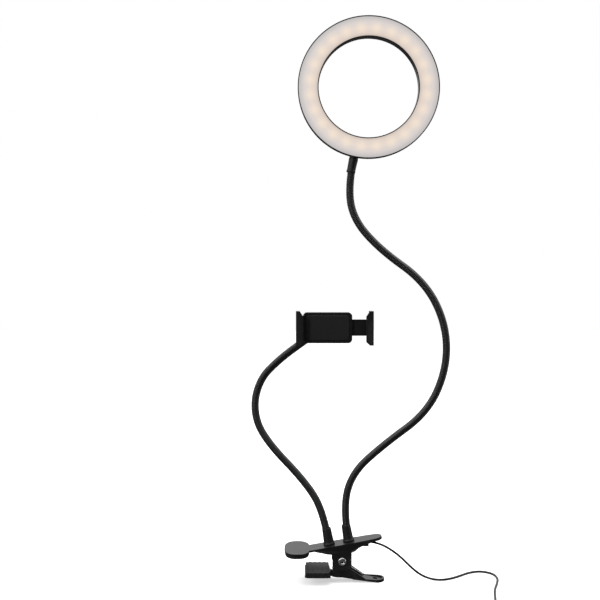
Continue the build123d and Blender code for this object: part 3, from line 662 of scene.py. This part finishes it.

# %% [markdown]
# ## The goosenecks
# A gooseneck is a steel spring with a second wire wound into its grooves, and friction between them holds
# any shape. Close up it is a fine thread, a bulge every millimetre and a half. We draw one bulge, wind it
# with a Screw modifier, and lay the winding along the arm's line with a Curve modifier. The model bends the
# arm at a few places, so the winding is made in stretches, each running across one joint.

# %% The arms' lines
RING_ARM = [
    (54.5, 0, 12.5), (48.6, 0, 46), (57.5, 0, 84), (91, 0, 114.5), (138, 0, 149), (158, 0, 196),
    (156.5, 0, 243), (134, 0, 287), (87, 0, 320.5), (58.5, 0, 353), (53.54, 0, 388.67), (59.78, 0, 418.52)]
PHONE_ARM = [
    (33.96, 0, 8.8), (28.3, 0, 40), (12.5, 0, 71), (-36, 0, 122), (-46.5, 0, 153), (-39.5, 0, 184),
    (-18, -4, 206), (8, -16, 226), (24, -31, 238.2), (27.74, -45.33, 240.57)]
PITCH = 1.65                            # one turn of the winding, in millimetres
# One bulge of the wire: each point's radius, and its share of the pitch.
WINDING = ((3.70, 0.0), (3.93, 0.2), (4.02, 0.5), (3.93, 0.8), (3.70, 1.0))
WINDING_STEPS = 26


# %% A stretch of winding, from one turn to another, laid along a line
def winding(name, line, first_turn, last_turn):
    points = [((first_turn + share) * PITCH * MM, 0, radius * MM) for radius, share in WINDING]
    piece = drawn(name, points)
    bpy.ops.object.mode_set(mode="OBJECT")
    modify(piece, "SCREW", axis="X", angle=math.tau, screw_offset=PITCH * MM, steps=WINDING_STEPS,
           render_steps=WINDING_STEPS, iterations=last_turn - first_turn, use_merge_vertices=True,
           merge_threshold=0.01 * MM, use_normal_calculate=True)
    modify(piece, "CURVE", object=line, deform_axis="POS_X")
    return smooth(piece, 60)


def gooseneck(arm, route, chain):
    """The whole arm. chain lists the bodies from its foot to its tip."""
    line = spline_curve(arm + "_line", route, smoothness=60)
    line.data.use_path = True
    bpy.context.view_layer.update()
    points = line_of(line)
    marks = [0.0]
    for a, b in zip(points, points[1:]):
        marks.append(marks[-1] + (b - a).length)
    centres = []
    for number in range(1, len(chain)):
        centre = Vector(joints[f"{arm}_bend_{number}"]["pos_m"])
        centres.append(min(range(len(points)), key=lambda i: (points[i] - centre).length))
    ends = [0.0, *((marks[a] + marks[b]) / 2 for a, b in zip(centres, centres[1:])), marks[-1]]
    turns = [round(end / (PITCH * MM)) for end in ends]
    for number, nearest in enumerate(centres):
        piece = winding(f"{arm}_winding_{number + 1}", line, turns[number], turns[number + 1])
        stands_for = [f"{arm}_arm_{number + 1}"]
        if number == len(centres) - 1:
            stands_for.append(f"{arm}_arm_{number + 2}")
        settle(piece, None, stands_for)
        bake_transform(piece)
    bpy.data.objects.remove(line)
    print(arm, "gooseneck is", round(marks[-1] / MM), "mm long")


gooseneck("ring", RING_ARM, ["clamp", *(f"ring_seg_{k}" for k in range(2, 7)), "ring_head"])
gooseneck("phone", PHONE_ARM, ["clamp", *(f"phone_seg_{k}" for k in range(2, 6))])

# %% [markdown]
# ## Sleeves, ball and rivet
# Rubber sleeves hide where each gooseneck ends. They are turned shapes with rolled lips, like the ball that
# the cradle swivels on and the tubular rivet that the levers turn on.

# %% Rubber sleeves
BORE = 3.9                              # the sleeves grip the winding's crests


def toward(start, end):
    """The direction from one point to another."""
    return (Vector(end) - Vector(start)).normalized()


FOOT_SLEEVE = rounded(
    [(BORE, 0), (6.0, 0), (6.15, 1.3), (5.5, 2.7), (5.2, 6), (4.75, 16.6), (4.6, 17.5), (BORE, 17.5)],
    (0, 0.3, 0.4, 0.8, 1.5, 0.4, 0.3, 0.2))
for arm, route in (("ring", RING_ARM), ("phone", PHONE_ARM)):
    sleeve = turned(f"{arm}_foot_sleeve", FOOT_SLEEVE, Vector(route[0]) * MM, toward(*route[:2]), 48)
    settle(smooth(sleeve), "clamp", (f"{arm}_arm_foot_sleeve",))

toward_ring = toward(RING_ARM[-2], RING_CENTRE / MM)
NECK_AT = RING_CENTRE / MM - toward_ring * (RING_OUT / MM + 16.2)
TOP_SLEEVE = rounded(
    [(BORE, 0), (4.4, 0), (4.8, 1.2), (4.5, 3.2), (4.6, 8), (4.85, 14.6), (4.7, 15.6), (BORE, 15.6)],
    (0, 0.3, 0.5, 0.8, 1.5, 0.4, 0.3, 0.2))
settle(smooth(turned("ring_neck_sleeve", TOP_SLEEVE, NECK_AT * MM, toward_ring, 48)), "ring_head",
       ("ring_top_sleeve",))

BALL = Vector((30, -54, 242))
toward_ball = toward(PHONE_ARM[-2], BALL)
END_SLEEVE = rounded(
    [(BORE, -6.4), (4.5, -6.4), (4.85, -5.4), (4.85, 0.1), (4.2, 0.9), (2.65, 0.9), (2.65, 0.1), (BORE, 0.1)],
    (0, 0.3, 0.4, 0.4, 0.3, 0, 0, 0))
settle(smooth(turned("ball_sleeve", END_SLEEVE, Vector(PHONE_ARM[-1]) * MM, toward_ball, 48)), "phone_seg_5",
       ("phone_arm_end_sleeve",))

# %% The ball and its stud, and the rivet
stud_length = (BALL - Vector(PHONE_ARM[-1])).length
BALL_R, STUD_R = 5.5, 2.6
BALL_STEPS = 24
at_stud = math.asin(STUD_R / BALL_R)    # where the stud's surface enters the ball
angles = [at_stud + (math.pi - at_stud) * step / BALL_STEPS for step in range(BALL_STEPS)]
ball_arc = [(BALL_R * math.sin(angle), stud_length - BALL_R * math.cos(angle)) for angle in angles]
stud = turned("ball_and_stud", [(0, 0), (STUD_R, 0), *ball_arc, (0, stud_length + BALL_R)],
              Vector(PHONE_ARM[-1]) * MM, toward_ball, 40)
settle(smooth(stud), "phone_seg_5", ("ball_stud",))

PIN = Vector((47.2, 0, -6.7))
HEAD_OUT, HEAD_IN = 12.1, 11.0          # from the middle to a head's crown and to the cheek
half_rivet = [(1.5, HEAD_OUT - 1.2), (2.0, HEAD_OUT - 0.35), (2.9, HEAD_OUT), (3.7, HEAD_OUT - 0.15),
              (4.3, HEAD_OUT - 0.7), (4.3, HEAD_IN), (2.4, HEAD_IN)]
rivet = turned("rivet", [*half_rivet, *[(radius, -height) for radius, height in reversed(half_rivet)]],
               PIN * MM, (0, 1, 0), 48)
settle(smooth(rivet, 50), "clamp", ("clamp_pivot_pin",))

# %% [markdown]
# ## The clamp's spring
# One wire makes the whole spring: down the upper handle, round the rivet in a few turns, and out along the
# lower handle. Its two legs leave the coil at a tangent. It joins both levers, so it rides on neither.

# %% The torsion spring
WIRE = 1.6
SPRING_R = 3.7
SPRING_HALF = 4.2
SPRING_TURNS = 6                        # the lower leg's angle is counted this many turns on
TURN_STEPS = 20
UPPER_LEG, LOWER_LEG = Vector((75.2, -SPRING_HALF, 12.3)), Vector((70, SPRING_HALF, -24.9))


def tangent_angle(end, side):
    """Where on the coil the wire to this end leaves it, as an angle from X towards Z."""
    reach = end - PIN
    spread = math.acos(SPRING_R / math.hypot(reach.x, reach.z))
    return math.atan2(reach.z, reach.x) + side * spread


wound_from = tangent_angle(UPPER_LEG, 1)
wound_to = tangent_angle(LOWER_LEG, -1) + math.tau * SPRING_TURNS
steps = round((wound_to - wound_from) / math.tau * TURN_STEPS)
step_angle = (wound_to - wound_from) / steps
reach = SPRING_R / math.cos(step_angle / 2)
spring_points = [UPPER_LEG + Vector((1.5, 0, -0.9)), UPPER_LEG, Vector((60.6, -SPRING_HALF, 4.0))]
for step in range(steps + 1):
    angle = wound_from + step_angle * step
    spring_points.append(PIN + Vector((reach * math.cos(angle), SPRING_HALF * (2 * step / steps - 1),
                                       reach * math.sin(angle))))
spring_points += [LOWER_LEG - Vector((12, 0, -7.6)), LOWER_LEG]
spring = spline_curve("torsion_spring", spring_points, WIRE, 3)
alone(spring)
bpy.ops.object.convert(target="MESH")
spring = bpy.context.object
settle(smooth(spring, 60), None, ("clamp_spring",))
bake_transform(spring)
print("spring:", round((wound_to - wound_from) / math.tau, 2), "turns")

# %% [markdown]
# ## The ring head
# The shell is a channel of black plastic with a thin rim on each side of the cover. The cover sits a hair
# below the rims, and its edges are rolled.

# %% The milky cover
COVER_BACK, COVER_FRONT = 5.2, 7.3      # distances in front of the ring's middle
RIM = 1.0
inner, outer = RING_IN / MM + RIM, RING_OUT / MM - RIM
COVER = rounded([(inner, COVER_BACK), (outer, COVER_BACK), (outer, COVER_FRONT), (inner, COVER_FRONT)],
                (0, 0, 0.7, 0.7), 6)
cover = turned("milky_cover", COVER, RING_CENTRE, (0, -1, 0), 128)
settle(smooth(cover), "ring_head", ("ring_diffuser",))

# %% The shell
settle(eased("ring_shell", "ring_rear_housing", 0.25, 3, 25), "ring_head", ("ring_rear_housing",))

# %% [markdown]
# ## Moulded parts with eased edges
# The levers, the cradle, its jaws, the lock nut and the plug are mouldings. Their edges are rounded as far
# as a mould rounds them: more on what hands squeeze, less on shells that meet.

# %% Clamp
for name, node, width, segments in (
        ("upper_lever", "clamp_upper_lever", 0.45, 3), ("upper_pad", "clamp_upper_pad", 0.9, 4),
        ("lower_lever", "clamp_lower_lever", 0.4, 3), ("lower_pad", "clamp_lower_pad", 0.25, 2),
        ("lead_clip", "cord_clip", 0.35, 3)):
    settle(eased(name, node, width, segments), body_of_node[node], (node,))

# %% Cradle
for name, node, width, segments in (
        ("cradle_back", "cradle_rear_shell", 0.35, 3), ("cradle_face", "cradle_front_cover", 0.5, 3),
        ("cradle_cushion", "cradle_front_pad", 0.3, 3), ("jaw_left", "left_jaw", 0.9, 4),
        ("jaw_right", "right_jaw", 0.9, 4), ("cushion_left", "left_jaw_pad", 0.2, 2),
        ("cushion_right", "right_jaw_pad", 0.2, 2), ("nut_with_flutes", "lock_nut", 0.35, 3)):
    settle(eased(name, node, width, segments), body_of_node[node], (node,))

# %% Control box and plug
on_cord = ["control_board", "usb_tongue"]
for name, node, width, segments in (
        ("control_top", "control_top_shell", 0.15, 2), ("control_bottom", "control_bottom_shell", 0.15, 2),
        ("plug_grip", "usb_grip", 0.5, 3), ("plug_shell", "usb_shell", 0.15, 2),
        ("coil_tie", "cord_tie", 0.25, 2)):
    settle(eased(name, node, width, segments), body_of_node[node], (node,))
    on_cord.append(name)
RELIEF = rounded([(0, 0), (1.95, 0), (1.95, 5), (2.6, 5), (2.6, 6.4), (1.55, 13), (0, 13)],
                 (0, 0.1, 0.1, 0.3, 0.8, 0.4, 0))
BOX = Vector((136, -94, -24.75))
for side in (-1, 1):
    relief = turned(f"strain_relief_{(side + 3) // 2}", RELIEF, (BOX + Vector((side * 26, 0, 0))) * MM,
                    (side, 0, 0), 32)
    settle(smooth(relief), "clamp", ("control_strain_reliefs",))
    on_cord.append(relief.name)
on_cord += [f"button_{number}" for number in range(1, 5)]

# %% [markdown]
# ## What the model already holds
# The rest is small hardware whose shape is right as it is. It only takes its finish.

# %% Finishes for the nodes that stay
kept = [node for node, piece in nodes.items() if not piece.hide_render]
for node in kept:
    nodes[node].data.materials.clear()
    nodes[node].data.materials.append(finishes[slot_of_node[node]])
print("nodes shown as they are:", kept)
